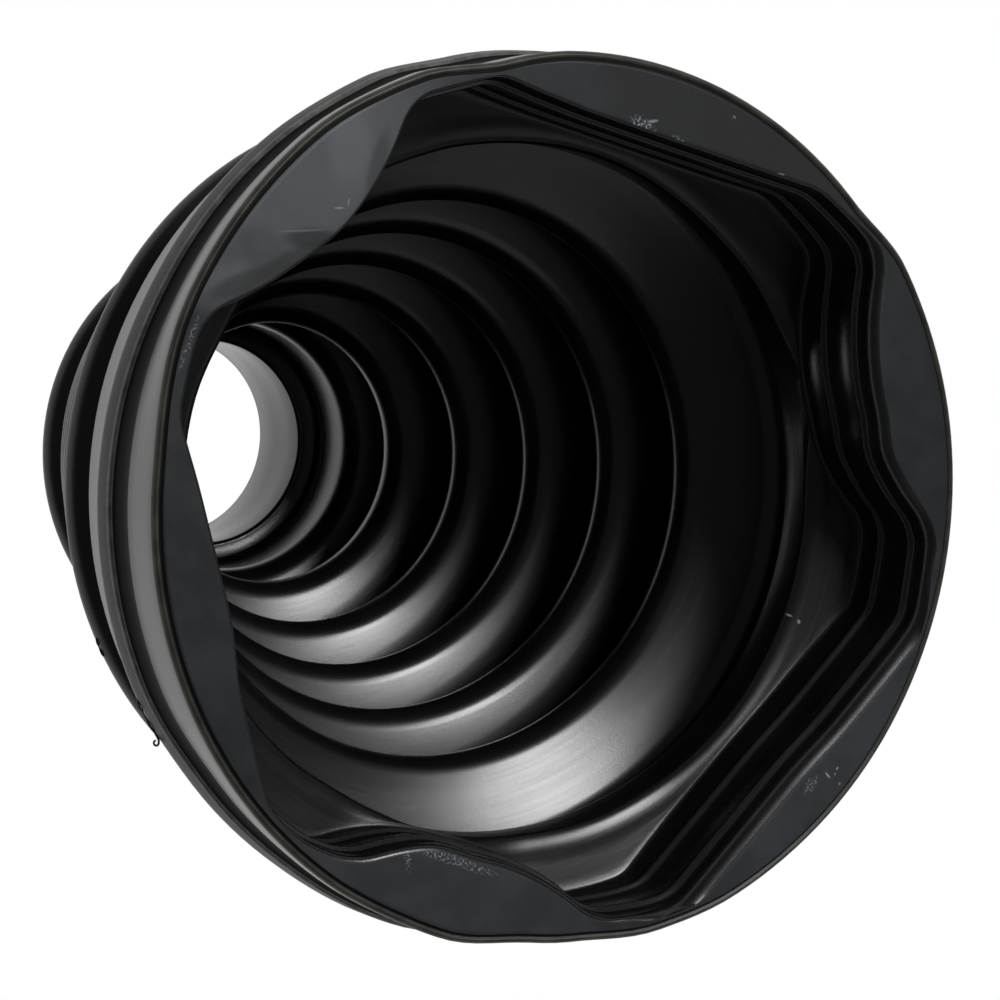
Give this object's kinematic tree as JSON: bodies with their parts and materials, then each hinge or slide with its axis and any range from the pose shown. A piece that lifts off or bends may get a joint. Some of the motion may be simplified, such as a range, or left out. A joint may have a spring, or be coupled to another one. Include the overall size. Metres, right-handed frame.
{
  "type": "rubber bellows boot",
  "caption": "Tapered rubber bellows boot with a round shaft grip at the small end and a wide collar whose bore has inward lobes to seal on a joint housing.",
  "frame": {"origin": "centre of the small end's face, the lowest point of the boot's axis as it stands on its small end", "axes": "+Z along the boot's axis from the small end to the mouth, +Y through the middle of one of the three flats of the housing bore, right-handed"},
  "size_m": [0.0878, 0.0878, 0.102],
  "materials": {
    "rubber": "moulded black rubber, satin on the folds, dull blue-grey bloom on the mouth face and edges"
  },
  "bodies": {
    "root": {"bellows_boot": "rubber"}
  },
  "joints": []
}
